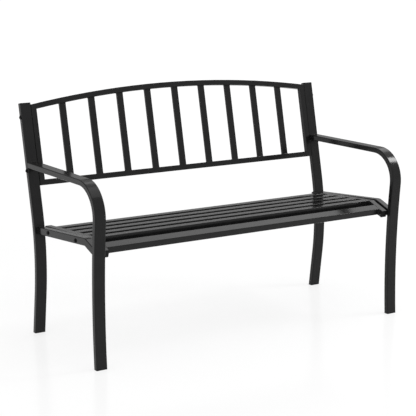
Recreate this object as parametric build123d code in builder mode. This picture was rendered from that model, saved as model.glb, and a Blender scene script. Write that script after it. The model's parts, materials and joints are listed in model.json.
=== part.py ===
"""Black steel garden bench for two: bent tube side frames, a slatted seat panel and an arched back panel.

Millimetres. X runs along the bench, the front faces -Y and Z is up. The origin lies on the floor under the
middle of the bench's outline. Left is the side at -X, as seen from in front.
"""

from build123d import *

import os
from math import asin, cos, degrees, radians, sin, sqrt, tan

os.makedirs("parts", exist_ok=True)

# Overall sizes
bench_length = 1270.0
foot_spacing = 482.7
seat_height = 423.8
arm_height = 623.2
crown_height = 862.5
panel_height = 326.5
post_drop = 38.5

# Tube of the legs, posts and arms
leg_width = 40.0
leg_depth = 20.0
leg_wall = 1.2
leg_corner = 3.0

# Front leg: a slight rearward bow, then one bend into the armrest
front_bow_radius = 3100.0
front_bow_height = 200.0
arm_bend_radius = 105.0
arm_fall_angle = 0.55

# Rear leg: straight and splayed at the foot, then a forward bow, then the straight upright leaning back
back_splay_angle = 7.9
back_bow_radius = 870.0
back_bow_height = 264.0
back_lean_angle = 12.5

# Tube of the seat rails and of the seat's side bars
rail_width = 25.0
rail_height = 26.0
rail_wall = 1.0
rail_corner = 2.5
rail_inset = 12.0
rail_bend_radius = 27.0

# Lie of the seat: a level part that falls to the rear, and a nose that falls to the front
kink_setback = 89.5
seat_fall_angle = 4.3
nose_fall_angle = 19.0
bar_end_gap = 4.0
nose_end_gap = 3.0

# The rails' own kink stands further forward and higher than the seat's, and they fall more to the rear
rail_kink_lead = 5.3
rail_kink_rise = 3.7
rail_fall_angle = 5.1

# Seat slats
slat_width = 40.0
slat_height = 24.0
slat_wall = 0.8
slat_corner = 2.5
slat_count = 5
slat_pitch = 70.4
slat_setback = 1.0
front_slat_width = 35.0
front_slat_setback = 32.5

# Stay welded under the slats at mid-length
stay_width = 25.0
stay_thickness = 4.0
stay_end_inset = 8.0

# Back panel
panel_tube = 20.0
panel_wall = 0.8
panel_corner = 1.5
arch_rise = 47.0
spindle_width = 25.0
spindle_depth = 10.0
spindle_wall = 0.8
spindle_corner = 1.5
spindle_count = 9

# Fasteners
bolt_radius = 3.0
bolt_hole_radius = 3.3
bolt_head_radius = 5.5
bolt_head_height = 3.3
bolt_head_rim = 0.8
bolt_socket_radius = 2.3
bolt_socket_depth = 1.8
bolt_reach = 13.0
washer_radius = 8.0
washer_thickness = 1.2
insert_flange_radius = 6.5
insert_flange = 0.8
insert_body_radius = 4.5
insert_hole_radius = 4.6
insert_bore_radius = 3.1
insert_length = 14.0
post_bolt_drop = 50.0
post_bolt_rise = 56.0
seat_bolt_front = 65.0
seat_bolt_rear = 77.5

# Plastic plugs
foot_flange = 4.0
cap_flange = 4.0
cap_chamfer = 1.2
plug_flange = 2.0
plug_depth = 14.0
plug_wall = 1.6
plug_clearance = 0.35

# How far cutting bodies and uncut tubes run past what they cut
overrun = 6.0

SIDES = (("left", -1), ("right", 1))


def inner_corner(corner, wall):
    """Inner corner radius of a tube, kept above zero by its wall."""
    return max(corner - wall, wall / 4)


def draw_tube(width, height, wall, corner):
    """Rounded rectangular tube section, drawn in the sketch that calls it."""
    RectangleRounded(width, height, corner)
    RectangleRounded(
        width - 2 * wall, height - 2 * wall, inner_corner(corner, wall), mode=Mode.SUBTRACT
    )


def draw_plug(width, height, wall, corner):
    """Hollow section of a plastic plug that fits a tube of the given section with its clearance."""
    play = wall + plug_clearance
    draw_tube(width - 2 * play, height - 2 * play, plug_wall, inner_corner(corner, wall))


def line_to_circle(start, angle, centre, radius):
    """Distance from start, along a side-view direction, to where it first meets a circle."""
    along, off = start[0] - centre[0], start[1] - centre[1]
    half = along * cos(radians(angle)) + off * sin(radians(angle))
    root = sqrt(half**2 - (along**2 + off**2 - radius**2))
    return min(value for value in (-half - root, -half + root) if value > 0)


def bow_depth(radius, height):
    """How far an arc stands back from its middle, a given height away from it."""
    return radius - sqrt(radius**2 - height**2)


# Side view, first measured from the middle of the front foot
half_leg = leg_depth / 2
half_panel = panel_tube / 2
lean = radians(back_lean_angle)
splay = radians(back_splay_angle)
back_bow_start = back_bow_height - back_bow_radius * sin(splay)
front_bow_depth = bow_depth(front_bow_radius, front_bow_height)
back_bow_depth = back_bow_start * tan(splay) + bow_depth(back_bow_radius, back_bow_radius * sin(splay))
arm_bend_z = arm_height - half_leg - arm_bend_radius
bend_ratio = arm_bend_radius / front_bow_radius
leg_bend_height = (arm_bend_z + bend_ratio * front_bow_height) / (1 + bend_ratio)
leg_lean_angle = degrees(asin((leg_bend_height - front_bow_height) / front_bow_radius))
leg_bend_offset = front_bow_depth - bow_depth(front_bow_radius, leg_bend_height - front_bow_height)
arm_bend_offset = leg_bend_offset + arm_bend_radius * cos(radians(leg_lean_angle))
upright_offset = foot_spacing - back_bow_depth + bow_depth(back_bow_radius, back_bow_radius * sin(lean))
upright_z = back_bow_height + back_bow_radius * sin(lean)

# Lengths along the leaning upright, from the top of the bow
post_height = crown_height - post_drop
panel_bottom_height = crown_height - panel_height
crown_core = half_panel - panel_corner
crown_along = panel_corner
crown_along += (crown_height - upright_z - panel_corner - crown_core * sin(lean)) / cos(lean)
post_along = (post_height - upright_z - half_leg * sin(lean)) / cos(lean)
panel_along = (panel_bottom_height - upright_z - half_panel * sin(lean)) / cos(lean)

# The outline's middle, front to back, is the origin
front_reach = arm_bend_offset - arm_bend_radius - half_leg
rear_reach = upright_offset + panel_corner
rear_reach += (crown_along - panel_corner) * sin(lean) + crown_core * cos(lean)
front_foot_y = -(front_reach + rear_reach) / 2
back_foot_y = front_foot_y + foot_spacing
front_bow_centre = (front_foot_y + front_bow_depth - front_bow_radius, front_bow_height)
back_bow_centre = (back_foot_y - back_bow_depth + back_bow_radius, back_bow_height)
upright_y = front_foot_y + upright_offset

# Places across the bench
leg_x = (bench_length - leg_width) / 2
rail_x = bench_length / 2 - rail_inset - rail_width / 2
bar_x = rail_x - rail_width - insert_flange - washer_thickness
panel_half = bench_length / 2 - leg_width - insert_flange
stile_x = panel_half - half_panel
stile_inner = panel_half - panel_tube
slat_half = bar_x - rail_width / 2

# Plane of the back panel and the posts, with local y up along the lean and local z out of the front
back_plane = Plane(
    origin=(0, upright_y, upright_z), x_dir=(1, 0, 0), z_dir=(0, -cos(lean), sin(lean))
)


def side_plane(x):
    """Side-view plane at a place across the bench, with local x to the rear and local y up."""
    return Plane.YZ.offset(x)


def lean_plane(x, along):
    """Plane square to the upright, a given length up it, with local x across the bench."""
    origin = back_plane.from_local_coords((x, along, 0))
    return Plane(origin=origin, x_dir=(1, 0, 0), z_dir=back_plane.y_dir)


def post_point(along):
    """Side-view point on the middle line of the upright."""
    return (upright_y + along * sin(lean), upright_z + along * cos(lean))


# How the seat and its rails lie: the top's kink behind the front foot, its height, and the fall to the rear
seat_lie = (kink_setback, seat_height, seat_fall_angle)
rail_lie = (kink_setback - rail_kink_lead, seat_height + rail_kink_rise, rail_fall_angle)


def seat_kink(lie, drop):
    """Side-view point where the level part meets the nose, a given depth under the top."""
    setback, top, fall = lie
    tilt = radians(nose_fall_angle - fall) / 2
    reach = drop / cos(radians(nose_fall_angle + fall) / 2)
    return (front_foot_y + setback + reach * sin(tilt), top - reach * cos(tilt))


def seat_angle(lie, along):
    """Slope in degrees of the level part, or of the nose for along below zero: rising to the rear."""
    return nose_fall_angle if along < 0 else -lie[2]


def seat_point(lie, along, drop):
    """Side-view point under the top: along is to the rear of the kink, and below zero on the nose."""
    angle = radians(seat_angle(lie, along))
    top_y = front_foot_y + lie[0] + along * cos(angle)
    top_z = lie[1] + along * sin(angle)
    return (top_y + drop * sin(angle), top_z - drop * cos(angle))


def leg_runs(lie, drop):
    """How far a tube, a given depth under the top, runs from the kink to the rear leg and to the front leg."""
    kink = seat_kink(lie, drop)
    shift = drop * tan(radians(nose_fall_angle + lie[2]) / 2)
    rear = line_to_circle(kink, -lie[2], back_bow_centre, back_bow_radius + half_leg)
    front = line_to_circle(kink, 180 + nose_fall_angle, front_bow_centre, front_bow_radius + half_leg)
    return shift + rear, shift + front


def arch_edge(radius, x):
    """Height in the back plane of the arch's circle of a given radius, at a place across the bench."""
    return arch_centre + sqrt(radius**2 - x**2)


# Arch of the top rail, and the corners of its mitres
arch_radius = (panel_half**2 + arch_rise**2) / (2 * arch_rise)
arch_centre = crown_along - half_panel - arch_radius
arch_inner = arch_radius - half_panel
arch_outer = arch_radius + half_panel
top_inner = (stile_inner, arch_edge(arch_inner, stile_inner))
top_outer = (panel_half, arch_edge(arch_outer, panel_half))
bottom_inner = (stile_inner, panel_along + panel_tube)
bottom_outer = (panel_half, panel_along)

# How far the rails and the side bars run each way from the kink
rail_drop = rail_height / 2
rail_rear, rail_front = leg_runs(rail_lie, rail_drop)
rear_room, front_room = leg_runs(seat_lie, rail_drop)
bar_rear = rear_room - bar_end_gap - plug_flange
bar_front = front_room - nose_end_gap - plug_flange

# Bolt places: up the upright, and to the rear of the kink
post_bolts = [panel_along + post_bolt_rise, post_along - post_bolt_drop]
seat_bolts = [seat_bolt_front, bar_rear - seat_bolt_rear]
seat_bolt_points = [seat_point(seat_lie, along, rail_drop) for along in seat_bolts]

# Slat places to the rear of the kink, the rear slat first, and the front slat's on the nose
level_slats = [
    slat_setback + slat_width / 2 + row * slat_pitch for row in reversed(range(slat_count))
]
front_slat = -(front_slat_setback + front_slat_width / 2)

# Spindle places across the bench, with equal gaps
spindle_pitch = (2 * stile_inner + spindle_width) / (spindle_count + 1)
spindle_places = [
    spindle_pitch * (row + 1) - stile_inner - spindle_width / 2 for row in range(spindle_count)
]


def front_bow(low, high):
    """Arc of the front leg's middle line between two heights."""
    start = degrees(asin((low - front_bow_height) / front_bow_radius))
    end = degrees(asin((high - front_bow_height) / front_bow_radius))
    return CenterArc(front_bow_centre, front_bow_radius, start, end - start)


def back_splay(low, high):
    """Straight foot end of the rear leg's middle line between two heights."""
    return Line(*[(back_foot_y - height * tan(splay), height) for height in (low, high)])


def seat_path(lie, drop, front, rear):
    """Kinked middle line of a seat tube or bar, drawn in the line that calls it."""
    ends = (seat_point(lie, -front, drop), seat_point(lie, rear, drop))
    FilletPolyline(ends[0], seat_kink(lie, drop), ends[1], radius=rail_bend_radius)


def start_plane(path):
    """Plane square to the start of a path, facing along it, with its local x across the bench."""
    return Plane(origin=path @ 0, x_dir=(1, 0, 0), z_dir=path % 0)


def end_plane(path):
    """Plane square to the end of a path, facing along it, with its local x across the bench."""
    return Plane(origin=path @ 1, x_dir=(1, 0, 0), z_dir=path % 1)


def mitre_plane(inner, outer, sign):
    """Plane through the inner and outer points of a panel corner, square to the panel and facing up."""
    start = back_plane.from_local_coords((sign * inner[0], inner[1], 0))
    end = back_plane.from_local_coords((sign * outer[0], outer[1], 0))
    across = (end - start) * sign
    return Plane(origin=start, x_dir=across, z_dir=back_plane.z_dir.cross(across))


def save(builder, name):
    """Label a finished piece and write it as one STEP file."""
    builder.part.label = name
    export_step(builder.part, f"parts/{name}.step")


# Back posts: rear leg and upright in one tube, with a hole right through for each panel bolt
for side, sign in SIDES:
    with BuildPart() as back_post:
        with BuildLine(side_plane(sign * leg_x)) as post_line:
            foot_end = back_splay(-overrun, back_bow_start)
            bow = JernArc(foot_end @ 1, foot_end % 1, back_bow_radius, -back_splay_angle - back_lean_angle)
            Line(bow @ 1, bow @ 1 + (bow % 1) * (post_along - cap_flange))
        with BuildSketch(start_plane(post_line.line)):
            draw_tube(leg_width, leg_depth, leg_wall, leg_corner)
        sweep(path=post_line.line)
        split(bisect_by=Plane.XY.offset(foot_flange), keep=Keep.TOP)
        with BuildSketch(side_plane(sign * leg_x)):
            with Locations(*[post_point(along) for along in post_bolts]):
                Circle(bolt_hole_radius)
        extrude(amount=leg_width / 2 + overrun, both=True, mode=Mode.SUBTRACT)
    save(back_post, f"{side}_back_post")

# Front legs and armrests in one bent tube, with the arm's end cut to the post's front face
for side, sign in SIDES:
    with BuildPart() as front_leg:
        with BuildLine(side_plane(sign * leg_x)) as leg_line:
            bow = front_bow(-overrun, leg_bend_height)
            turn = -(90 + leg_lean_angle + arm_fall_angle)
            bend = JernArc(bow @ 1, bow % 1, arm_bend_radius, turn)
            Line(bend @ 1, bend @ 1 + (bend % 1) * foot_spacing)
        with BuildSketch(start_plane(leg_line.line)):
            draw_tube(leg_width, leg_depth, leg_wall, leg_corner)
        sweep(path=leg_line.line)
        split(bisect_by=Plane.XY.offset(foot_flange), keep=Keep.TOP)
        split(bisect_by=back_plane.offset(half_leg), keep=Keep.TOP)
    save(front_leg, f"{side}_front_leg_arm")

# Seat rails, cut to the bowed faces of both legs, with a clear hole for each seat bolt
for side, sign in SIDES:
    with BuildPart() as seat_rail:
        with BuildLine(side_plane(sign * rail_x)) as rail_line:
            seat_path(rail_lie, rail_drop, rail_front + overrun, rail_rear + overrun)
        with BuildSketch(start_plane(rail_line.line)):
            draw_tube(rail_width, rail_height, rail_wall, rail_corner)
        sweep(path=rail_line.line)
        with BuildSketch(side_plane(sign * rail_x)):
            with Locations(back_bow_centre):
                Circle(back_bow_radius + half_leg)
            with Locations(front_bow_centre):
                Circle(front_bow_radius + half_leg)
            with Locations(*seat_bolt_points):
                Circle(bolt_hole_radius)
        extrude(amount=rail_width / 2 + overrun, both=True, mode=Mode.SUBTRACT)
    save(seat_rail, f"{side}_seat_rail")

# Seat side bars, cut square at both ends, with a hole in the outer wall for each insert nut
for side, sign in SIDES:
    with BuildPart() as side_bar:
        with BuildLine(side_plane(sign * bar_x)) as bar_line:
            seat_path(seat_lie, rail_drop, bar_front, bar_rear)
        with BuildSketch(start_plane(bar_line.line)):
            draw_tube(rail_width, rail_height, rail_wall, rail_corner)
        sweep(path=bar_line.line)
        with BuildSketch(side_plane(sign * (bar_x + rail_width / 2))):
            with Locations(*seat_bolt_points):
                Circle(insert_hole_radius)
        extrude(amount=rail_width / 2, both=True, mode=Mode.SUBTRACT)
    save(side_bar, f"seat_{side}_side_bar")

# Plastic plugs in both ends of both side bars
with BuildPart() as side_bar_plugs:
    for side, sign in SIDES:
        with BuildLine(side_plane(sign * bar_x)) as bar_line:
            seat_path(seat_lie, rail_drop, bar_front, bar_rear)
        for plane, outward in ((start_plane(bar_line.line), -1), (end_plane(bar_line.line), 1)):
            with BuildSketch(plane):
                RectangleRounded(rail_width, rail_height, rail_corner)
            extrude(amount=outward * plug_flange)
            with BuildSketch(plane):
                draw_plug(rail_width, rail_height, rail_wall, rail_corner)
            extrude(amount=-outward * plug_depth)
save(side_bar_plugs, "seat_side_bar_plugs")

# Seat slats: the level ones, numbered from the rear, and the one on the nose
slats = {f"seat_slat_{row}": (along, slat_width) for row, along in enumerate(level_slats, start=1)}
slats["seat_front_slat"] = (front_slat, front_slat_width)
for name, (along, width) in slats.items():
    slope = radians(seat_angle(seat_lie, along))
    left_end = (-slat_half, *seat_point(seat_lie, along, slat_height / 2))
    with BuildPart() as slat:
        with BuildSketch(Plane(origin=left_end, x_dir=(0, cos(slope), sin(slope)), z_dir=(1, 0, 0))):
            draw_tube(width, slat_height, slat_wall, slat_corner)
        extrude(amount=2 * slat_half)
    save(slat, name)

# Centre stay: a kinked flat bar under all the slats
with BuildPart() as centre_stay:
    with BuildLine(side_plane(0)) as stay_line:
        seat_path(
            seat_lie,
            slat_height + stay_thickness / 2,
            front_slat_width / 2 - front_slat - stay_end_inset,
            level_slats[0] + slat_width / 2 - stay_end_inset,
        )
    with BuildSketch(start_plane(stay_line.line)):
        Rectangle(stay_width, stay_thickness)
    sweep(path=stay_line.line)
save(centre_stay, "seat_centre_stay")

# Arched top rail, mitred to the stiles
with BuildPart() as top_rail:
    with BuildLine(back_plane) as arch_line:
        half_sweep = degrees(asin((panel_half + overrun) / arch_radius))
        CenterArc((0, arch_centre), arch_radius, 90 - half_sweep, 2 * half_sweep)
    arch_start = Plane(
        origin=arch_line.line @ 0, x_dir=back_plane.z_dir, z_dir=arch_line.line % 0
    )
    with BuildSketch(arch_start):
        draw_tube(panel_tube, panel_tube, panel_wall, panel_corner)
    arch_axis = Axis(back_plane.from_local_coords((0, arch_centre, 0)), back_plane.z_dir)
    revolve(axis=arch_axis, revolution_arc=2 * half_sweep)
    for side, sign in SIDES:
        split(bisect_by=mitre_plane(top_inner, top_outer, sign), keep=Keep.TOP)
save(top_rail, "back_top_rail")

# Bottom rail, mitred to the stiles
with BuildPart() as bottom_rail:
    rail_end = back_plane.from_local_coords((-panel_half - overrun, panel_along + half_panel, 0))
    with BuildSketch(Plane(origin=rail_end, x_dir=back_plane.y_dir, z_dir=(1, 0, 0))):
        draw_tube(panel_tube, panel_tube, panel_wall, panel_corner)
    extrude(amount=2 * (panel_half + overrun))
    for side, sign in SIDES:
        split(bisect_by=mitre_plane(bottom_inner, bottom_outer, sign), keep=Keep.BOTTOM)
save(bottom_rail, "back_bottom_rail")

# Stiles, mitred at both ends, with a hole in the outer wall for each insert nut
for side, sign in SIDES:
    with BuildPart() as stile:
        with BuildSketch(lean_plane(sign * stile_x, panel_along - overrun)):
            draw_tube(panel_tube, panel_tube, panel_wall, panel_corner)
        extrude(amount=top_outer[1] - panel_along + 2 * overrun)
        split(bisect_by=mitre_plane(bottom_inner, bottom_outer, sign), keep=Keep.TOP)
        split(bisect_by=mitre_plane(top_inner, top_outer, sign), keep=Keep.BOTTOM)
        with BuildSketch(side_plane(sign * panel_half)):
            with Locations(*[post_point(along) for along in post_bolts]):
                Circle(insert_hole_radius)
        extrude(amount=half_panel, both=True, mode=Mode.SUBTRACT)
    save(stile, f"back_{side}_stile")

# Spindles, standing on the bottom rail and cut to the underside of the arch
for row, x in enumerate(spindle_places, start=1):
    with BuildPart() as spindle:
        with BuildSketch(lean_plane(x, panel_along + panel_tube)):
            draw_tube(spindle_width, spindle_depth, spindle_wall, spindle_corner)
        extrude(amount=crown_along - panel_along - panel_tube)
        with BuildSketch(back_plane):
            with Locations((x, crown_along)):
                Rectangle(spindle_width + 2 * overrun, 2 * (arch_rise + panel_tube))
            with Locations((0, arch_centre)):
                Circle(arch_inner, mode=Mode.SUBTRACT)
        extrude(amount=spindle_depth, both=True, mode=Mode.SUBTRACT)
    save(spindle, f"back_spindle_{row}")

# Foot plugs: a level flange that carries on the leg's outline, and a hollow plug inside the tube
for place, foot_line in (("front", front_bow), ("back", back_splay)):
    for side, sign in SIDES:
        with BuildLine(side_plane(sign * leg_x)) as plug_line:
            foot_line(-overrun, foot_flange + plug_depth)
        with BuildLine(side_plane(sign * leg_x)) as flange_line:
            foot_line(0, foot_flange)
        plug_run = plug_line.line @ 1 - plug_line.line @ 0
        flange_run = flange_line.line @ 1 - flange_line.line @ 0
        with BuildPart() as foot_plug:
            with BuildSketch(Plane(origin=plug_line.line @ 0, x_dir=(1, 0, 0), z_dir=plug_run)):
                draw_plug(leg_width, leg_depth, leg_wall, leg_corner)
            extrude(amount=plug_run.length)
            split(bisect_by=Plane.XY.offset(foot_flange), keep=Keep.TOP)
            with BuildSketch(Plane(origin=flange_line.line @ 0)):
                RectangleRounded(leg_width, leg_depth * flange_run.length / foot_flange, leg_corner)
            extrude(amount=flange_run.length, dir=flange_run)
        save(foot_plug, f"{side}_{place}_foot_plug")

# Post caps: a chamfered flange on the tube's end, and a hollow plug inside it
for side, sign in SIDES:
    with BuildPart() as post_cap:
        tube_end = lean_plane(sign * leg_x, post_along - cap_flange)
        with BuildSketch(tube_end):
            RectangleRounded(leg_width, leg_depth, leg_corner)
        extrude(amount=cap_flange)
        chamfer(post_cap.faces().sort_by(Axis(tube_end.origin, tube_end.z_dir))[-1].edges(), cap_chamfer)
        with BuildSketch(tube_end):
            draw_plug(leg_width, leg_depth, leg_wall, leg_corner)
        extrude(amount=-plug_depth)
    save(post_cap, f"{side}_post_cap")


def fastener_plane(sign, x, point):
    """Plane on the outer side of a bolted tube, facing out of the bench, at a side-view point."""
    return Plane(origin=(sign * x, *point), x_dir=(0, 0, 1), z_dir=(sign, 0, 0))


# Each panel's bolted joints: the faces under the washers, the face under the insert flanges, and the places.
# The seat has a second washer at each bolt, which spaces the rail from the insert flange.
seat_insert_x = bar_x + rail_width / 2
seat_washer_faces = (rail_x + rail_width / 2, seat_insert_x + insert_flange)
post_joint = ((bench_length / 2,), panel_half, [post_point(along) for along in post_bolts])
seat_joint = (seat_washer_faces, seat_insert_x, seat_bolt_points)

for panel, (washer_faces, insert_x, points) in (("back", post_joint), ("seat", seat_joint)):
    spots = [(sign, point) for side, sign in SIDES for point in points]
    outer_x = washer_faces[0]

    # Washers, flat on the tube or on the insert flange
    with BuildPart() as washers:
        for sign, point in spots:
            for face_x in washer_faces:
                with BuildSketch(fastener_plane(sign, face_x, point)):
                    Circle(washer_radius)
                    Circle(bolt_hole_radius, mode=Mode.SUBTRACT)
                extrude(amount=washer_thickness)
    save(washers, f"{panel}_washers")

    # Button-head bolts with a hexagon socket, through the tube and into the insert nut
    with BuildPart() as bolts:
        for sign, point in spots:
            seat = fastener_plane(sign, outer_x + washer_thickness, point)
            with BuildSketch(seat):
                Circle(bolt_head_radius)
            head = extrude(amount=bolt_head_height)
            rim = head.edges().sort_by(Axis(seat.origin, seat.z_dir))[-1]
            fillet(rim, bolt_head_height - bolt_head_rim)
            with BuildSketch(seat):
                Circle(bolt_radius)
            extrude(amount=insert_x - bolt_reach - outer_x - washer_thickness)
            with BuildSketch(seat.offset(bolt_head_height)):
                RegularPolygon(bolt_socket_radius, 6)
            extrude(amount=-bolt_socket_depth, mode=Mode.SUBTRACT)
    save(bolts, f"{panel}_bolts")

    # Insert nuts, with the flange between the two tubes and the body inside the panel's tube
    with BuildPart() as insert_nuts:
        for sign, point in spots:
            mouth = fastener_plane(sign, insert_x, point)
            with BuildSketch(mouth):
                Circle(insert_flange_radius)
            extrude(amount=insert_flange)
            with BuildSketch(mouth):
                Circle(insert_body_radius)
            extrude(amount=-insert_length)
            with BuildSketch(mouth.offset(insert_flange)):
                Circle(insert_bore_radius)
            extrude(amount=-insert_flange - insert_length, mode=Mode.SUBTRACT)
    save(insert_nuts, f"{panel}_insert_nuts")
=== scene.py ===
"""Studio scene of the black steel garden bench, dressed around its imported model.

Metres, in the model's own frame: X runs along the bench, the front faces -Y, Z is up and the floor lies at
zero. Left is the side at -X, as seen from in front.
"""

import json
import logging
import math
from dataclasses import dataclass, field
from enum import Enum

import bpy
import numpy as np
from mathutils import Matrix, Vector
from mathutils.bvhtree import BVHTree

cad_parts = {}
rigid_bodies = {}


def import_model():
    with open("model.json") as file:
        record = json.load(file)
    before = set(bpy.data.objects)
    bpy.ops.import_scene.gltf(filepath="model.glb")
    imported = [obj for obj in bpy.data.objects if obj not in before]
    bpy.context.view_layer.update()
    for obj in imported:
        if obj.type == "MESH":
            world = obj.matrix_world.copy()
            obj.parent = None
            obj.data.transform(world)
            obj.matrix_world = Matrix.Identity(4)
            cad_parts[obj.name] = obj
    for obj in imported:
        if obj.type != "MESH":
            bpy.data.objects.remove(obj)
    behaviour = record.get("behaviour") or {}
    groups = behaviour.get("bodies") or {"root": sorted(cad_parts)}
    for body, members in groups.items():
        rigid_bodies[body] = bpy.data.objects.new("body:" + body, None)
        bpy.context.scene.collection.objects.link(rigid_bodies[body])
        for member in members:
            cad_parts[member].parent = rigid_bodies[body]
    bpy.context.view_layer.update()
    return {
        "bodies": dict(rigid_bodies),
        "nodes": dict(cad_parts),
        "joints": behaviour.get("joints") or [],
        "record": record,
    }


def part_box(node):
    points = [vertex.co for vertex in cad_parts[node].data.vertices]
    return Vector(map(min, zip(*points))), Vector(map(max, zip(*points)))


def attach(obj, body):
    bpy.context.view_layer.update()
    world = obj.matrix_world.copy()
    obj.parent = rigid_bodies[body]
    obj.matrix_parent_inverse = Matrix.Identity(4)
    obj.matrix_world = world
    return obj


LOG = logging.getLogger("garden_bench")
BODY = "root"

FULL_TURN = 2 * math.pi
HALF_TURN = math.pi
QUARTER_TURN = math.pi / 2
UPWARDS = Vector((0, 0, 1))
REARWARDS = Vector((0, 1, 0))

# A joint's outline is tried at turns up to this many degrees either side of its hint, in these steps
FIT_LIMIT = 30.0
FIT_STEP = 0.5
# Points that agree to this many digits of a metre are one point
POINT_DIGITS = 6

Colour = tuple[float, float, float]
Place = tuple[float, float, float]
Socket = bpy.types.NodeSocket
Feed = Socket | float | tuple[float, ...]
WHITE: Colour = (1.0, 1.0, 1.0)


class Side(Enum):
    """The two ends of the bench, each with its sign of X."""

    LEFT = -1
    RIGHT = 1

    @property
    def word(self) -> str:
        """The side's name as the model's nodes spell it."""
        return self.name.lower()


class Slot(Enum):
    """Material slots of the bench."""

    FRAME = "frame"
    PLASTIC = "plastic"
    FASTENER = "fastener"
    ZINC = "zinc"


class PortKind(Enum):
    """What a shader group's input carries."""

    NUMBER = "NodeSocketFloat"
    VECTOR = "NodeSocketVector"


def opaque(colour: Colour) -> tuple[float, ...]:
    """A colour with full alpha, as shader sockets take it."""
    return (*colour, 1.0)


class NodeSheet:
    """A shader tree, with short calls that add nodes and join their sockets."""

    # Where a Mix node keeps its factor and its two colours, and where it gives the mixed colour
    MIX_INPUTS = (0, 6, 7)
    MIX_OUTPUT = 2

    def __init__(self, tree: bpy.types.NodeTree) -> None:
        """Takes the tree and empties it.

        Args:
            tree: The material's, group's or world's node tree.
        """
        self.tree = tree
        tree.nodes.clear()

    def add(self, kind: str, **values: object) -> bpy.types.Node:
        """Adds a node and sets its properties.

        Args:
            kind: The node's type, without the ShaderNode in front.
            values: Properties to set on the node.

        Returns:
            The new node.
        """
        node = self.tree.nodes.new(kind if kind.startswith("NodeGroup") else "ShaderNode" + kind)
        for name, value in values.items():
            setattr(node, name, value)
        return node

    def join(self, socket: Socket, value: Feed) -> None:
        """Joins an input to another node, or sets its plain value.

        Args:
            socket: The input.
            value: The output to join it to, or the value.
        """
        if isinstance(value, Socket):
            self.tree.links.new(value, socket)
        else:
            socket.default_value = value

    def feed(self, node: bpy.types.Node, **inputs: Feed) -> bpy.types.Node:
        """Sets or joins a node's inputs by name, with underscores for spaces.

        Args:
            node: The node to feed.
            inputs: A socket to join, or a plain value to set, for each input.

        Returns:
            The same node.
        """
        for name, value in inputs.items():
            self.join(node.inputs[name.replace("_", " ")], value)
        return node

    def maths(self, operation: str, *terms: Feed) -> Socket:
        """Adds one Math node.

        Args:
            operation: Its operation, such as MULTIPLY.
            terms: A socket or a number for each input, in order.

        Returns:
            The node's output.
        """
        node = self.add("Math", operation=operation)
        for socket, term in zip(node.inputs, terms):
            self.join(socket, term)
        return node.outputs[0]

    def split(self, vector: Socket) -> bpy.types.NodeOutputs:
        """Takes a vector apart.

        Args:
            vector: The vector.

        Returns:
            Outputs named X, Y and Z.
        """
        node = self.add("SeparateXYZ")
        self.join(node.inputs[0], vector)
        return node.outputs

    def spread(self, value: Socket, low: float, high: float, to_low: Feed, to_high: Feed) -> Socket:
        """Maps a range of values onto another, and clamps it there.

        Args:
            value: The socket to map.
            low: The value that becomes to_low.
            high: The value that becomes to_high.
            to_low: Where low goes, a number or a socket.
            to_high: Where high goes, a number or a socket.

        Returns:
            The mapped value.
        """
        node = self.add("MapRange", clamp=True)
        self.feed(node, Value=value, From_Min=low, From_Max=high, To_Min=to_low, To_Max=to_high)
        return node.outputs["Result"]

    def blend(self, share: Socket, under: Feed, over: Feed) -> Socket:
        """Mixes two colours.

        Args:
            share: How much of the second shows.
            under: The first colour, a socket or four numbers.
            over: The second colour, a socket or four numbers.

        Returns:
            The mixed colour.
        """
        node = self.add("Mix", data_type="RGBA")
        for place, value in zip(self.MIX_INPUTS, (share, under, over)):
            self.join(node.inputs[place], value)
        return node.outputs[self.MIX_OUTPUT]

    def layer(self, share: Socket, under: Socket, over: Socket) -> Socket:
        """Mixes two shaders.

        Args:
            share: How much of the second shows.
            under: The first shader.
            over: The second shader.

        Returns:
            The mixed shader.
        """
        node = self.add("MixShader")
        for socket, value in zip(node.inputs, (share, under, over)):
            self.join(socket, value)
        return node.outputs[0]


@dataclass(frozen=True)
class GroupPort:
    """One named input of a shader group, with its starting value."""

    name: str
    value: float = 0.0
    kind: PortKind = PortKind.NUMBER


PLACE_PORT = GroupPort("Place", kind=PortKind.VECTOR)


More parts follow.
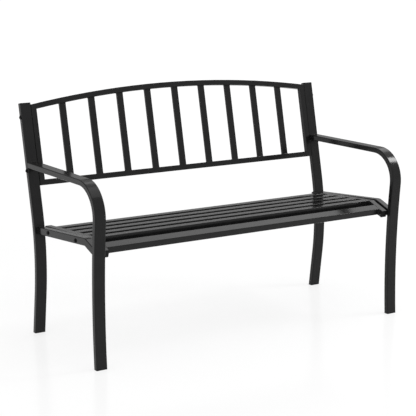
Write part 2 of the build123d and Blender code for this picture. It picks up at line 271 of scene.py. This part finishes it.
class EffectGroups:
    """Shader groups for the effects that more than one finish shows."""

    PEEL_DETAIL = 2.0
    WAVE_SHARE = 0.45
    CLOUD_DETAIL = 3.0
    CLOUD_RANGE = (0.3, 0.7)
    EDGE_SAMPLES = 4
    EDGE_FLAT = 0.995
    EDGE_ROUND = 0.86
    RUB_DETAIL = 4.0
    RUB_RANGE = (0.35, 0.65)
    RUB_LEAST = 0.25
    DUST_SLOPE = 0.5
    DUST_DETAIL = 5.0
    DUST_RANGE = (0.3, 0.75)
    DUST_LEAST = 0.35

    def __init__(self) -> None:
        """Builds each group once."""
        self.peel = self._orange_peel()
        self.mottle = self._mottle()
        self.edges = self._edges()
        self.dust = self._dust()

    def _begin(
        self, name: str, result: str, *ports: GroupPort
    ) -> tuple[NodeSheet, bpy.types.NodeOutputs, bpy.types.Node]:
        """Makes an empty group with its sockets.

        Args:
            name: The group's name.
            result: The name of its one output.
            ports: Its inputs.

        Returns:
            The group's sheet, what its inputs give, and its output node.
        """
        tree = bpy.data.node_groups.new(name, "ShaderNodeTree")
        for port in ports:
            socket = tree.interface.new_socket(port.name, in_out="INPUT", socket_type=port.kind.value)
            if port.kind is PortKind.NUMBER:
                socket.default_value = port.value
        tree.interface.new_socket(result, in_out="OUTPUT", socket_type=PortKind.NUMBER.value)
        sheet = NodeSheet(tree)
        return sheet, sheet.add("NodeGroupInput").outputs, sheet.add("NodeGroupOutput")

    def _noise(self, sheet: NodeSheet, place: Socket, size: Feed, detail: float) -> Socket:
        """Adds a noise whose features have a real size.

        Args:
            sheet: The sheet to add it to.
            place: The coordinates in metres.
            size: The size of a feature in metres, a socket or a number.
            detail: How many finer layers it has.

        Returns:
            The noise, from 0 to 1.
        """
        noise = sheet.add("TexNoise")
        sheet.feed(noise, Vector=place, Scale=sheet.maths("DIVIDE", 1.0, size), Detail=detail)
        return noise.outputs[0]

    def _orange_peel(self) -> bpy.types.NodeTree:
        """Fine dimples over a slower wave, as sprayed or moulded skins have.

        Returns:
            The group.
        """
        ports = (PLACE_PORT, GroupPort("Dimple Size", 0.0012), GroupPort("Wave Size", 0.006))
        sheet, given, leave = self._begin("orange_peel", "Height", *ports)
        dimples = self._noise(sheet, given["Place"], given["Dimple Size"], self.PEEL_DETAIL)
        waves = self._noise(sheet, given["Place"], given["Wave Size"], self.PEEL_DETAIL)
        slow = sheet.maths("MULTIPLY", waves, self.WAVE_SHARE)
        fast = sheet.maths("MULTIPLY", dimples, 1 - self.WAVE_SHARE)
        sheet.feed(leave, Height=sheet.maths("ADD", slow, fast))
        return sheet.tree

    def _mottle(self) -> bpy.types.NodeTree:
        """A soft, cloudy change.

        Returns:
            The group.
        """
        sheet, given, leave = self._begin("mottle", "Value", PLACE_PORT, GroupPort("Size", 0.05))
        cloud = self._noise(sheet, given["Place"], given["Size"], self.CLOUD_DETAIL)
        sheet.feed(leave, Value=sheet.spread(cloud, *self.CLOUD_RANGE, 0.0, 1.0))
        return sheet.tree

    def _edges(self) -> bpy.types.NodeTree:
        """A mask of the bent and cut edges, where a coat lies thinner and gets rubbed.

        Returns:
            The group.
        """
        ports = (PLACE_PORT, GroupPort("Radius", 0.0015), GroupPort("Patch Size", 0.02))
        sheet, given, leave = self._begin("edge_mask", "Mask", *ports)
        rounded = sheet.feed(sheet.add("Bevel", samples=self.EDGE_SAMPLES), Radius=given["Radius"])
        match = sheet.add("VectorMath", operation="DOT_PRODUCT")
        sheet.join(match.inputs[0], rounded.outputs["Normal"])
        sheet.join(match.inputs[1], sheet.add("NewGeometry").outputs["Normal"])
        edge = sheet.spread(match.outputs["Value"], self.EDGE_ROUND, self.EDGE_FLAT, 1.0, 0.0)
        patches = self._noise(sheet, given["Place"], given["Patch Size"], self.RUB_DETAIL)
        broken = sheet.spread(patches, *self.RUB_RANGE, self.RUB_LEAST, 1.0)
        sheet.feed(leave, Mask=sheet.maths("MULTIPLY", edge, broken))
        return sheet.tree

    def _dust(self) -> bpy.types.NodeTree:
        """A mask of what has settled on faces that look up.

        Returns:
            The group.
        """
        ports = (PLACE_PORT, GroupPort("Patch Size", 0.03), GroupPort("Amount", 0.1))
        sheet, given, leave = self._begin("settled_dust", "Mask", *ports)
        normal = sheet.split(sheet.add("NewGeometry").outputs["Normal"])
        facing_up = sheet.spread(normal["Z"], self.DUST_SLOPE, 1.0, 0.0, 1.0)
        patches = self._noise(sheet, given["Place"], given["Patch Size"], self.DUST_DETAIL)
        thin = sheet.spread(patches, *self.DUST_RANGE, self.DUST_LEAST, 1.0)
        settled = sheet.maths("MULTIPLY", facing_up, thin)
        sheet.feed(leave, Mask=sheet.maths("MULTIPLY", settled, given["Amount"]))
        return sheet.tree


@dataclass(frozen=True)
class Finish:
    """A surface finish: a colour that clouds and edges change, over a dimpled skin."""

    name: str
    colour: Colour
    cloud_colour: Colour
    edge_colour: Colour
    dust_colour: Colour = (0.22, 0.21, 0.195)
    metallic: float = 0.0
    specular: float = 0.5
    roughness: tuple[float, float] = (0.4, 0.5)
    edge_roughness: float = 0.3
    cloud_size: float = 0.05
    edge_radius: float = 0.0015
    edge_share: float = 0.3
    dust: float = 0.05
    dimple_size: float = 0.0012
    wave_size: float = 0.006
    relief: float = 0.00004

    def build(self, effects: EffectGroups) -> bpy.types.Material:
        """Makes the material.

        Args:
            effects: The shared shader groups.

        Returns:
            The material.
        """
        material = bpy.data.materials.new(self.name)
        material.use_nodes = True
        sheet = NodeSheet(material.node_tree)
        place = sheet.add("TexCoord").outputs["Object"]
        surface = sheet.add("BsdfPrincipled")
        surface.inputs["Metallic"].default_value = self.metallic
        surface.inputs["Specular IOR Level"].default_value = self.specular
        cloud = self._group(sheet, effects.mottle, Place=place, Size=self.cloud_size)
        edge = self._group(sheet, effects.edges, Place=place, Radius=self.edge_radius)
        dust = self._group(sheet, effects.dust, Place=place, Amount=self.dust)
        edge_share = sheet.maths("MULTIPLY", edge, self.edge_share)
        coat = sheet.blend(cloud, opaque(self.colour), opaque(self.cloud_colour))
        rubbed = sheet.blend(edge_share, coat, opaque(self.edge_colour))
        dusty = sheet.blend(dust, rubbed, opaque(self.dust_colour))
        gloss = sheet.spread(cloud, 0.0, 1.0, *self.roughness)
        gloss = sheet.spread(edge_share, 0.0, 1.0, gloss, self.edge_roughness)
        peel = self._group(
            sheet, effects.peel, Place=place, Dimple_Size=self.dimple_size, Wave_Size=self.wave_size
        )
        bump = sheet.feed(sheet.add("Bump"), Strength=1.0, Distance=self.relief, Height=peel)
        sheet.feed(surface, Base_Color=dusty, Roughness=gloss, Normal=bump.outputs[0])
        sheet.feed(sheet.add("OutputMaterial"), Surface=surface.outputs[0])
        return material

    def _group(self, sheet: NodeSheet, tree: bpy.types.NodeTree, **inputs: Feed) -> Socket:
        """Places one shader group and feeds it.

        Args:
            sheet: The material's sheet.
            tree: The group.
            inputs: Its inputs by name.

        Returns:
            The group's output.
        """
        return sheet.feed(sheet.add("Group", node_tree=tree), **inputs).outputs[0]


POWDER_COAT = Finish(
    name="black_powder_coat",
    colour=(0.0062, 0.0062, 0.0064),
    cloud_colour=(0.0082, 0.0081, 0.0082),
    edge_colour=(0.018, 0.018, 0.018),
    specular=0.18,
    roughness=(0.14, 0.19),
    edge_roughness=0.14,
    dust=0.02,
)
# Black moulded plastic of the foot plugs, post caps and side bar plugs. Its colour is the plastic's own
# black, made darker still as painted shade for the contact shadow under the feet, and that darkening lies
# on the caps and bar plugs too.
PLASTIC_WITH_PAINTED_SHADE = Finish(
    name="black_plastic_darkened_as_painted_shade",
    # Darker than the plastic's own black: painted contact shadow of the feet.
    colour=(0.0030, 0.0030, 0.0032),
    cloud_colour=(0.0044, 0.0044, 0.0045),
    edge_colour=(0.012, 0.012, 0.012),
    specular=0.14,
    roughness=(0.46, 0.56),
    edge_roughness=0.42,
    cloud_size=0.012,
    edge_radius=0.0008,
    dust=0.02,
    dimple_size=0.0004,
    wave_size=0.003,
    relief=0.00003,
)
BLACK_BOLT = Finish(
    name="black_bolt_coating",
    colour=(0.0022, 0.0022, 0.0024),
    cloud_colour=(0.0042, 0.0041, 0.0040),
    edge_colour=(0.012, 0.012, 0.012),
    specular=0.12,
    roughness=(0.30, 0.40),
    edge_roughness=0.26,
    cloud_size=0.004,
    edge_radius=0.0004,
    edge_share=0.6,
    dust=0.0,
    dimple_size=0.0005,
    wave_size=0.002,
    relief=0.000015,
)
ZINC_PLATE = Finish(
    name="zinc_plate",
    colour=(0.56, 0.56, 0.57),
    cloud_colour=(0.66, 0.65, 0.62),
    edge_colour=(0.75, 0.75, 0.74),
    metallic=1.0,
    roughness=(0.24, 0.42),
    edge_roughness=0.22,
    cloud_size=0.003,
    edge_radius=0.0003,
    edge_share=0.5,
    dust=0.0,
    dimple_size=0.0005,
    wave_size=0.002,
    relief=0.00001,
)


@dataclass(frozen=True)
class Joint:
    """Where the end of one tube lies against another piece: a flat frame, and the outline's size in it."""

    origin: Vector
    across: Vector
    up: Vector
    out: Vector
    width: float
    height: float

    @property
    def frame(self) -> Matrix:
        """The joint's frame: X across, Y up and Z out of the piece that carries the tube."""
        turned = Matrix((self.across, self.up, self.out)).transposed().to_4x4()
        return Matrix.Translation(self.origin) @ turned


def find_joint(tube: bpy.types.Object, base: bpy.types.Object, up: Vector, reach: float) -> Joint:
    """Fits a joint's frame to the end of a tube that lies against another piece.

    Args:
        tube: The piece whose end is welded.
        base: The piece that carries it.
        up: Direction of the outline's height, right within 30 degrees.
        reach: How far from the base's surface the end's points may lie.

    Returns:
        The joint, with its Z axis towards the tube's other end.
    """
    surface = BVHTree.FromPolygons(
        [vertex.co for vertex in base.data.vertices], [face.vertices for face in base.data.polygons]
    )
    near = [
        vertex.co for vertex in tube.data.vertices if surface.find_nearest(vertex.co, reach)[0] is not None
    ]
    cloud = np.unique(np.round(np.array(near), POINT_DIGITS), axis=0)
    _, spread_axes = np.linalg.eigh(np.cov(cloud.T))
    out = Vector(spread_axes[:, 0]).normalized()
    if out.dot(centre_of(tube) - Vector(cloud.mean(axis=0))) < 0:
        out.negate()

    def outline(degrees: float) -> tuple[float, np.ndarray, np.ndarray]:
        """Measures the end's outline with its height turned from the hint.

        Args:
            degrees: How far it is turned.

        Returns:
            The outline's area, its three axes, and the end's points along them.
        """
        rise = (up - out * up.dot(out)).normalized()
        rise = Matrix.Rotation(math.radians(degrees), 3, out) @ rise
        axes = np.array((rise.cross(out), rise, out))
        points = cloud @ axes.T
        return float(np.ptp(points[:, 0]) * np.ptp(points[:, 1])), axes, points

    turns = np.arange(-FIT_LIMIT, FIT_LIMIT + FIT_STEP, FIT_STEP)
    _, axes, points = min((outline(turn) for turn in turns), key=lambda fit: fit[0])
    low, high = points.min(axis=0), points.max(axis=0)
    centre = (low + high) / 2
    centre[2] = points[:, 2].mean()
    across, rise, out = (Vector(axis) for axis in axes)
    return Joint(Vector(centre @ axes), across, rise, out, high[0] - low[0], high[1] - low[1])


def centre_of(piece: bpy.types.Object) -> Vector:
    """The middle of a piece's box, from its first corner and the one opposite, in metres."""
    return (Vector(piece.bound_box[0]) + Vector(piece.bound_box[6])) / 2


def select_only(*pieces: bpy.types.Object) -> None:
    """Selects these objects and no others, and makes the first one active.

    Args:
        pieces: The objects, or none to deselect everything.
    """
    bpy.ops.object.select_all(action="DESELECT")
    for piece in pieces:
        piece.select_set(True)
    if pieces:
        bpy.context.view_layer.objects.active = pieces[0]


@dataclass(frozen=True)
class Bead:
    """A bead of weld: its radius, the length of one step along it, and how much its ripples swell."""

    radius: float = 0.0019
    step: float = 0.00105
    ripple: float = 0.13
    sides: int = 8
    corner: float = 0.0025
    taper_share: float = 0.45
    merge_share: float = 0.05
    least_turn: float = 1e-6

    def ring(self, name: str, width: float, height: float) -> bpy.types.Object:
        """Models a closed bead round a rounded rectangle that lies in the XY plane about the origin.

        Args:
            name: The new object's name.
            width: The rectangle's size along X.
            height: Its size along Y.

        Returns:
            The bead.
        """
        path = self._loop(width, height)
        ring = self._start(name, *path[0], self.radius)
        swell = 1.0
        for index in range(1, len(path) + 1):
            place, heading = path[index % len(path)]
            last, last_heading = path[index - 1]
            wanted = 1.0 - self.ripple * (index % 2)
            turn = (heading - last_heading + HALF_TURN) % FULL_TURN - HALF_TURN
            self._advance(place - last, place, turn, wanted / swell)
            swell = wanted
        bpy.ops.mesh.select_all(action="SELECT")
        bpy.ops.mesh.remove_doubles(threshold=self.step * self.merge_share)
        return self._end(ring)

    def run(self, name: str, length: float) -> bpy.types.Object:
        """Models a straight bead with tapered ends, along X about the origin.

        Args:
            name: The new object's name.
            length: Its length.

        Returns:
            The bead.
        """
        count = 2 * round(length / self.step / 2)
        pace = Vector((length / count, 0, 0))
        place = Vector((-length / 2, 0, 0))
        swell = self.taper_share
        bead = self._start(name, place, 0.0, self.radius * swell, fill="NGON")
        for index in range(1, count + 1):
            place = place + pace
            wanted = 1.0 - self.ripple * (index % 2)
            if index == count:
                wanted = self.taper_share
            self._advance(pace, place, 0.0, wanted / swell)
            swell = wanted
        return self._end(bead)

    def _loop(self, width: float, height: float) -> list[tuple[Vector, float]]:
        """Points and headings evenly along a rounded rectangle.

        Args:
            width: Its size along X.
            height: Its size along Y.

        Returns:
            An even number of points, each with its heading in radians.
        """
        corner = min(self.corner, width / 2, height / 2)
        bend = corner * QUARTER_TURN
        straights = [width - 2 * corner, height - 2 * corner] * 2
        total = sum(straights) + 4 * bend
        count = 2 * round(total / self.step / 2)
        path = []
        for index in range(count):
            left = index * total / count
            side = 0
            while left > straights[side] + bend:
                left -= straights[side] + bend
                side += 1
            half = straights[side] / 2
            depth = (height if side % 2 == 0 else width) / 2
            turn = max(left - straights[side], 0) / corner
            along = -half + min(left, straights[side]) + corner * math.sin(turn)
            below = -depth + corner * (1 - math.cos(turn))
            quarter = Matrix.Rotation(side * QUARTER_TURN, 4, "Z")
            path.append((quarter @ Vector((along, below, 0)), side * QUARTER_TURN + turn))
        return path

    def _start(
        self, name: str, place: Vector, heading: float, radius: float, fill: str = "NOTHING"
    ) -> bpy.types.Object:
        """Adds the bead's first circle, square to its heading, and opens it for editing.

        Args:
            name: The new object's name.
            place: The circle's middle.
            heading: Its direction in the XY plane, in radians.
            radius: Its radius.
            fill: NGON for a closed end.

        Returns:
            The new object.
        """
        select_only()
        bpy.ops.mesh.primitive_circle_add(
            vertices=self.sides,
            radius=radius,
            fill_type=fill,
            location=place,
            rotation=(0, QUARTER_TURN, heading),
        )
        bead = bpy.context.active_object
        bead.name = name
        bpy.ops.object.mode_set(mode="EDIT")
        bpy.ops.mesh.select_all(action="SELECT")
        return bead

    def _advance(self, pace: Vector, place: Vector, turn: float, swell: float) -> None:
        """Extrudes the open end by one step, turns it and swells it.

        Args:
            pace: The step, from the last place to the new one.
            place: The new place.
            turn: How far the heading turns to the left, in radians.
            swell: How much the circle grows.
        """
        bpy.ops.mesh.extrude_region_move(TRANSFORM_OT_translate={"value": pace})
        if abs(turn) > self.least_turn:
            bpy.ops.transform.rotate(value=-turn, orient_axis="Z", center_override=place)
        bpy.ops.transform.resize(value=(swell,) * 3, center_override=place)

    def _end(self, bead: bpy.types.Object) -> bpy.types.Object:
        """Closes the editing, points all faces outwards and settles the object at the origin.

        Args:
            bead: The bead.

        Returns:
            The same bead.
        """
        bpy.ops.mesh.select_all(action="SELECT")
        bpy.ops.mesh.normals_make_consistent(inside=False)
        bpy.ops.object.mode_set(mode="OBJECT")
        select_only(bead)
        bpy.ops.object.transform_apply(location=True, rotation=True, scale=True)
        bpy.ops.object.shade_smooth()
        return bead


@dataclass
class WeldSet:
    """The welds of one sub-assembly, copied from modelled beads and joined into one piece."""

    name: str
    unevenness: float = 0.00022
    lump_size: float = 0.006
    beads: list[bpy.types.Object] = field(default_factory=list)

    def lay(self, master: bpy.types.Object, frame: Matrix) -> None:
        """Copies a modelled bead to its place.

        Args:
            master: The bead, modelled about the origin.
            frame: Where it goes.
        """
        copy = master.copy()
        copy.data = master.data.copy()
        copy.data.transform(frame)
        bpy.context.scene.collection.objects.link(copy)
        self.beads.append(copy)

    def join(self, material: bpy.types.Material) -> bpy.types.Object:
        """Joins the copies into one piece of the bench and makes them a little uneven.

        Args:
            material: The finish.

        Returns:
            The piece.
        """
        select_only(*self.beads)
        bpy.ops.object.join()
        piece = bpy.context.active_object
        piece.name = piece.data.name = self.name
        clouds = bpy.data.textures.new(self.name, "CLOUDS")
        clouds.noise_scale = self.lump_size
        bpy.ops.object.modifier_add(type="DISPLACE")
        lumps = piece.modifiers[-1]
        lumps.texture = clouds
        lumps.texture_coords = "LOCAL"
        lumps.strength = self.unevenness
        bpy.ops.object.modifier_apply(modifier=lumps.name)
        piece.data.materials.append(material)
        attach(piece, BODY)
        return piece


@dataclass
class Workshop:
    """What every sub-assembly needs: the model's nodes and the built finishes."""

    nodes: dict[str, bpy.types.Object]
    finishes: dict[Slot, bpy.types.Material]

    def dress(self, slot: Slot, *names: str) -> None:
        """Gives nodes of the model a finish.

        Args:
            slot: The slot whose finish they take.
            names: The nodes.
        """
        for name in names:
            for holder in self.nodes[name].material_slots:
                holder.material = self.finishes[slot]
        LOG.info("%s: %s", slot.value, ", ".join(names))

    def find_joint(self, tube: str, base: str, up: Vector, reach: float) -> Joint:
        """Fits a joint between two nodes, as find_joint says.

        Args:
            tube: The node whose end is welded.
            base: The node that carries it.
            up: Direction of the outline's height.
            reach: How far from the base's surface the end's points may lie.

        Returns:
            The joint.
        """
        return find_joint(self.nodes[tube], self.nodes[base], up, reach)

    def finish_welds(self, welds: WeldSet, *masters: bpy.types.Object) -> None:
        """Joins a set of welds and clears away the beads it was copied from.

        Args:
            welds: The set.
            masters: The beads modelled about the origin.
        """
        piece = welds.join(self.finishes[Slot.FRAME])
        for master in masters:
            bpy.data.objects.remove(master)
        triangles = sum(len(face.vertices) - 2 for face in piece.data.polygons)
        LOG.info("%s: %d triangles", piece.name, triangles)


@dataclass
class SideFrame:
    """One welded side frame: rear leg and post, front leg and arm, and the seat rail between them."""

    shop: Workshop
    side: Side
    bead: Bead = field(default_factory=lambda: Bead(radius=0.0020, step=0.0012, corner=0.0022))
    arm_proud: float = 0.0002
    rail_proud: float = 0.0008
    reach: float = 0.0014

    def build(self) -> None:
        """Dresses the frame's tubes and plugs, and lays its welds."""
        word = self.side.word
        post, leg, rail = f"{word}_back_post", f"{word}_front_leg_arm", f"{word}_seat_rail"
        self.shop.dress(Slot.FRAME, post, leg, rail)
        self.shop.dress(
            Slot.PLASTIC, f"{word}_front_foot_plug", f"{word}_back_foot_plug", f"{word}_post_cap"
        )
        arm = self.shop.find_joint(leg, post, UPWARDS, self.reach)
        front = self.shop.find_joint(rail, leg, UPWARDS, self.reach)
        rear = self.shop.find_joint(rail, post, UPWARDS, self.reach)
        arm_sunk = 2 * (self.bead.radius - self.arm_proud)
        rail_sunk = 2 * (self.bead.radius - self.rail_proud)
        arm_ring = self.bead.ring("arm_ring", arm.width - arm_sunk, arm.height - rail_sunk)
        rail_ring = self.bead.ring("rail_ring", front.width - rail_sunk, front.height - rail_sunk)
        welds = WeldSet(f"{word}_frame_welds")
        welds.lay(arm_ring, arm.frame)
        welds.lay(rail_ring, front.frame)
        welds.lay(rail_ring, rear.frame @ Matrix.Diagonal((1, rear.height / front.height, 1, 1)))
        self.shop.finish_welds(welds, arm_ring, rail_ring)


@dataclass
class SeatPanel:
    """The welded seat panel: six slats between two side bars, over a centre stay."""

    shop: Workshop
    bead: Bead = field(default_factory=Bead)
    stitch: Bead = field(default_factory=lambda: Bead(radius=0.0018, step=0.0012))
    flush_gap: float = 0.00012
    sideways: float = 0.0006
    stitch_length: float = 0.022
    reach: float = 0.0013

    def build(self) -> None:
        """Dresses the panel's tubes and plugs, and lays its welds."""
        slats = sorted(name for name in self.shop.nodes if name.startswith("seat_") and "slat" in name)
        bars = [f"seat_{side.word}_side_bar" for side in Side]
        self.shop.dress(Slot.FRAME, *slats, *bars, "seat_centre_stay")
        self.shop.dress(Slot.PLASTIC, "seat_side_bar_plugs")
        joints = [
            [self.shop.find_joint(slat, bar, UPWARDS, self.reach) for bar in bars] for slat in slats
        ]
        first = joints[0][0]
        sunk = self.bead.radius - self.flush_gap
        ring = self.bead.ring("slat_ring", first.width, first.height - sunk)
        lowered = Matrix.Translation((0, -sunk / 2, -self.sideways))
        stitch = self.stitch.run("stay_stitch", self.stitch_length)
        low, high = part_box("seat_centre_stay")
        stay_half = (high.x - low.x) / 2
        welds = WeldSet("seat_welds")
        for ends in joints:
            for joint in ends:
                fitted = Matrix.Diagonal((joint.width / first.width, 1, 1, 1))
                welds.lay(ring, joint.frame @ lowered @ fitted)
            self._stitch_stay(welds, stitch, ends, stay_half)
        self.shop.finish_welds(welds, ring, stitch)

    def _stitch_stay(
        self, welds: WeldSet, stitch: bpy.types.Object, ends: list[Joint], stay_half: float
    ) -> None:
        """Lays the two short welds between one slat and the stay under it.

        Args:
            welds: The set that takes them.
            stitch: The modelled bead, along X.
            ends: The joints at the slat's two ends.
            stay_half: Half the stay's width.
        """
        middle = (ends[0].origin + ends[1].origin) / 2
        along, up = ends[1].across, ends[1].up
        turned = Matrix((along, up.cross(along), up)).transposed().to_4x4()
        for side in Side:
            place = middle - up * ends[1].height / 2 + Vector((side.value * stay_half, 0, 0))
            welds.lay(stitch, Matrix.Translation(place) @ turned)


@dataclass
class BackPanel:
    """The welded back panel: mitred rails and stiles with the spindles between them."""

    shop: Workshop
    spindle_bead: Bead = field(
        default_factory=lambda: Bead(radius=0.0013, step=0.0009, corner=0.0015, sides=7)
    )
    spindle_unevenness: float = 0.00015
    spindle_reach: float = 0.0008
    mitre_bead: Bead = field(
        default_factory=lambda: Bead(radius=0.0012, step=0.0009, corner=0.0015, sides=7)
    )
    mitre_unevenness: float = 0.0001
    mitre_reach: float = 0.0002
    mitre_proud: float = 0.00015
    rails: tuple[str, str] = ("back_top_rail", "back_bottom_rail")

    def build(self) -> None:
        """Dresses the panel's tubes and lays its welds."""
        stiles = [f"back_{side.word}_stile" for side in Side]
        spindles = sorted(name for name in self.shop.nodes if name.startswith("back_spindle"))
        self.shop.dress(Slot.FRAME, *self.rails, *stiles, *spindles)
        self._weld_spindles(self._joints(spindles, self.spindle_reach))
        self._weld_corners(self._joints(stiles, self.mitre_reach))

    def _joints(self, tubes: list[str], reach: float) -> list[Joint]:
        """Finds the joints of upright tubes with the two rails.

        Args:
            tubes: The uprights' nodes.
            reach: How far from a rail's surface an end's points may lie.

        Returns:
            The joints, tube by tube.
        """
        return [
            self.shop.find_joint(tube, rail, REARWARDS, reach) for tube in tubes for rail in self.rails
        ]

    def _weld_spindles(self, joints: list[Joint]) -> None:
        """Lays a bead round each end of the spindles.

        Args:
            joints: The spindles' joints.
        """
        first = joints[0]
        ring = self.spindle_bead.ring("spindle_ring", first.width, first.height)
        welds = WeldSet("back_spindle_welds", self.spindle_unevenness)
        for joint in joints:
            fitted = Matrix.Diagonal((joint.width / first.width, joint.height / first.height, 1, 1))
            welds.lay(ring, joint.frame @ fitted)
        self.shop.finish_welds(welds, ring)

    def _weld_corners(self, joints: list[Joint]) -> None:
        """Lays a fine bead along each mitre, sunk until it is nearly flush.

        Args:
            joints: The stiles' joints.
        """
        sunk = 2 * (self.mitre_bead.radius - self.mitre_proud)
        ring = self.mitre_bead.ring("mitre_ring", joints[0].width - sunk, joints[0].height - sunk)
        welds = WeldSet("back_corner_welds", self.mitre_unevenness)
        for joint in joints:
            welds.lay(ring, joint.frame)
        self.shop.finish_welds(welds, ring)


@dataclass
class Fasteners:
    """The bolts, washers and insert nuts of both panels."""

    shop: Workshop

    def build(self) -> None:
        """Dresses the fasteners."""
        for panel in ("back", "seat"):
            self.shop.dress(Slot.FASTENER, f"{panel}_bolts", f"{panel}_washers")
            self.shop.dress(Slot.ZINC, f"{panel}_insert_nuts")


@dataclass(frozen=True)
class Softbox:
    """A square area lamp: where it hangs, the point it faces, its side's length and its power in watts."""

    name: str
    place: Place
    aim: Place
    size: float
    power: float

    def hang(self) -> None:
        """Adds the lamp to the scene."""
        lamp = bpy.data.lights.new(self.name, "AREA")
        lamp.size = self.size
        lamp.energy = self.power
        holder = bpy.data.objects.new(self.name, lamp)
        holder.location = self.place
        view = Vector(self.aim) - Vector(self.place)
        holder.rotation_euler = view.to_track_quat("-Z", "Y").to_euler()
        bpy.context.scene.collection.objects.link(holder)


SOFTBOXES = (
    Softbox("overhead_softbox", place=(0.0, -0.6, 3.4), aim=(0.0, 0.0, 0.4), size=2.2, power=22.0),
    Softbox("rear_softbox", place=(1.95, 1.6, 2.75), aim=(0.0, -0.27, 0.42), size=2.0, power=16.0),
    Softbox("left_softbox", place=(-3.4, -0.8, 2.0), aim=(0.0, 0.0, 0.5), size=1.8, power=20.0),
    Softbox("right_softbox", place=(2.34, -0.82, 2.4), aim=(0.615, -0.26, 0.6), size=0.66, power=32.0),
)


@dataclass
class Studio:
    """The camera, the pale floor, the bright surroundings and the soft lamps."""

    camera_place: Place = (-2.4267, -3.8477, 1.3852)
    camera_tilt: float = 78.08
    camera_heading: float = -31.97
    lens: float = 110.0
    sensor: float = 36.0
    floor_size: float = 160.0
    floor_albedo: float = 0.95
    floor_level: float = 1.06
    floor_glow: float = 0.79
    floor_gloss: float = 0.12
    floor_sheen: float = 0.17
    floor_fade: tuple[float, float] = (1.4, 4.0)
    sky_lean: float = -0.5
    sky_heights: tuple[float, float] = (0.0, 0.4)
    sky_levels: tuple[float, float] = (0.4, 0.95)
    softboxes: tuple[Softbox, ...] = SOFTBOXES

    def build(self) -> None:
        """Makes the whole studio."""
        self._camera()
        self._floor()
        self._world()
        for softbox in self.softboxes:
            softbox.hang()
        bpy.context.scene.view_settings.view_transform = "Standard"

    def _camera(self) -> None:
        """Stands the camera where the photograph was taken from."""
        lens = bpy.data.cameras.new("camera")
        lens.lens = self.lens
        lens.sensor_width = self.sensor
        camera = bpy.data.objects.new("camera", lens)
        camera.location = self.camera_place
        camera.rotation_euler = (math.radians(self.camera_tilt), 0, math.radians(self.camera_heading))
        bpy.context.scene.collection.objects.link(camera)
        bpy.context.scene.camera = camera

    def _floor(self) -> None:
        """Lays the white floor, which keeps a faint shadow and a faint reflection of the feet."""
        select_only()
        bpy.ops.mesh.primitive_plane_add(size=self.floor_size)
        floor = bpy.context.active_object
        floor.name = "floor"
        material = bpy.data.materials.new("white_floor")
        material.use_nodes = True
        sheet = NodeSheet(material.node_tree)
        white = opaque(WHITE)
        matte = sheet.feed(sheet.add("BsdfDiffuse"), Color=opaque((self.floor_albedo,) * 3))
        glow = sheet.feed(sheet.add("Emission"), Color=white, Strength=self.floor_level)
        sheen = sheet.feed(sheet.add("BsdfGlossy"), Color=white, Roughness=self.floor_sheen)
        away = sheet.add("VectorMath", operation="LENGTH")
        sheet.join(away.inputs[0], sheet.add("TexCoord").outputs["Object"])
        glow_share = sheet.spread(away.outputs["Value"], *self.floor_fade, self.floor_glow, 1.0)
        gloss_share = sheet.spread(away.outputs["Value"], *self.floor_fade, self.floor_gloss, 0.0)
        seen_share = sheet.maths("MULTIPLY", self._seen(sheet), glow_share)
        body = sheet.layer(seen_share, matte.outputs[0], glow.outputs[0])
        top = sheet.layer(gloss_share, body, sheen.outputs[0])
        sheet.feed(sheet.add("OutputMaterial"), Surface=top)
        floor.data.materials.append(material)

    def _seen(self, sheet: NodeSheet) -> Socket:
        """Adds the mask of rays that see the background: from the camera, a reflection or a glass.

        Args:
            sheet: The shader sheet.

        Returns:
            The mask, 1 for such rays.
        """
        path = sheet.add("LightPath").outputs
        glossy = sheet.maths("ADD", path["Is Camera Ray"], path["Is Glossy Ray"])
        return sheet.maths("MINIMUM", sheet.maths("ADD", glossy, path["Is Transmission Ray"]), 1.0)

    def _world(self) -> None:
        """Makes the surroundings: bright overhead and in front, dimmer low down behind the bench."""
        world = bpy.data.worlds.new("studio")
        world.use_nodes = True
        sheet = NodeSheet(world.node_tree)
        way = sheet.split(sheet.add("TexCoord").outputs["Generated"])
        height = sheet.maths("MULTIPLY_ADD", way["Y"], self.sky_lean, way["Z"])
        strength = sheet.spread(height, *self.sky_heights, *self.sky_levels)
        glow = sheet.feed(sheet.add("Background"), Color=opaque(WHITE), Strength=strength)
        sheet.feed(sheet.add("OutputWorld"), Surface=glow.outputs[0])
        bpy.context.scene.world = world


def main() -> None:
    """Loads the model, dresses each sub-assembly, lays its welds and sets up the studio."""
    logging.basicConfig(level=logging.INFO, format="%(message)s")
    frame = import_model()
    effects = EffectGroups()
    finishes = {
        Slot.FRAME: POWDER_COAT.build(effects),
        Slot.PLASTIC: PLASTIC_WITH_PAINTED_SHADE.build(effects),
        Slot.FASTENER: BLACK_BOLT.build(effects),
        Slot.ZINC: ZINC_PLATE.build(effects),
    }
    shop = Workshop(frame["nodes"], finishes)
    parts = [SideFrame(shop, side) for side in Side]
    parts += [SeatPanel(shop), BackPanel(shop), Fasteners(shop), Studio()]
    for part in parts:
        part.build()
        LOG.info("%s done", type(part).__name__)


if __name__ == "__main__":
    main()
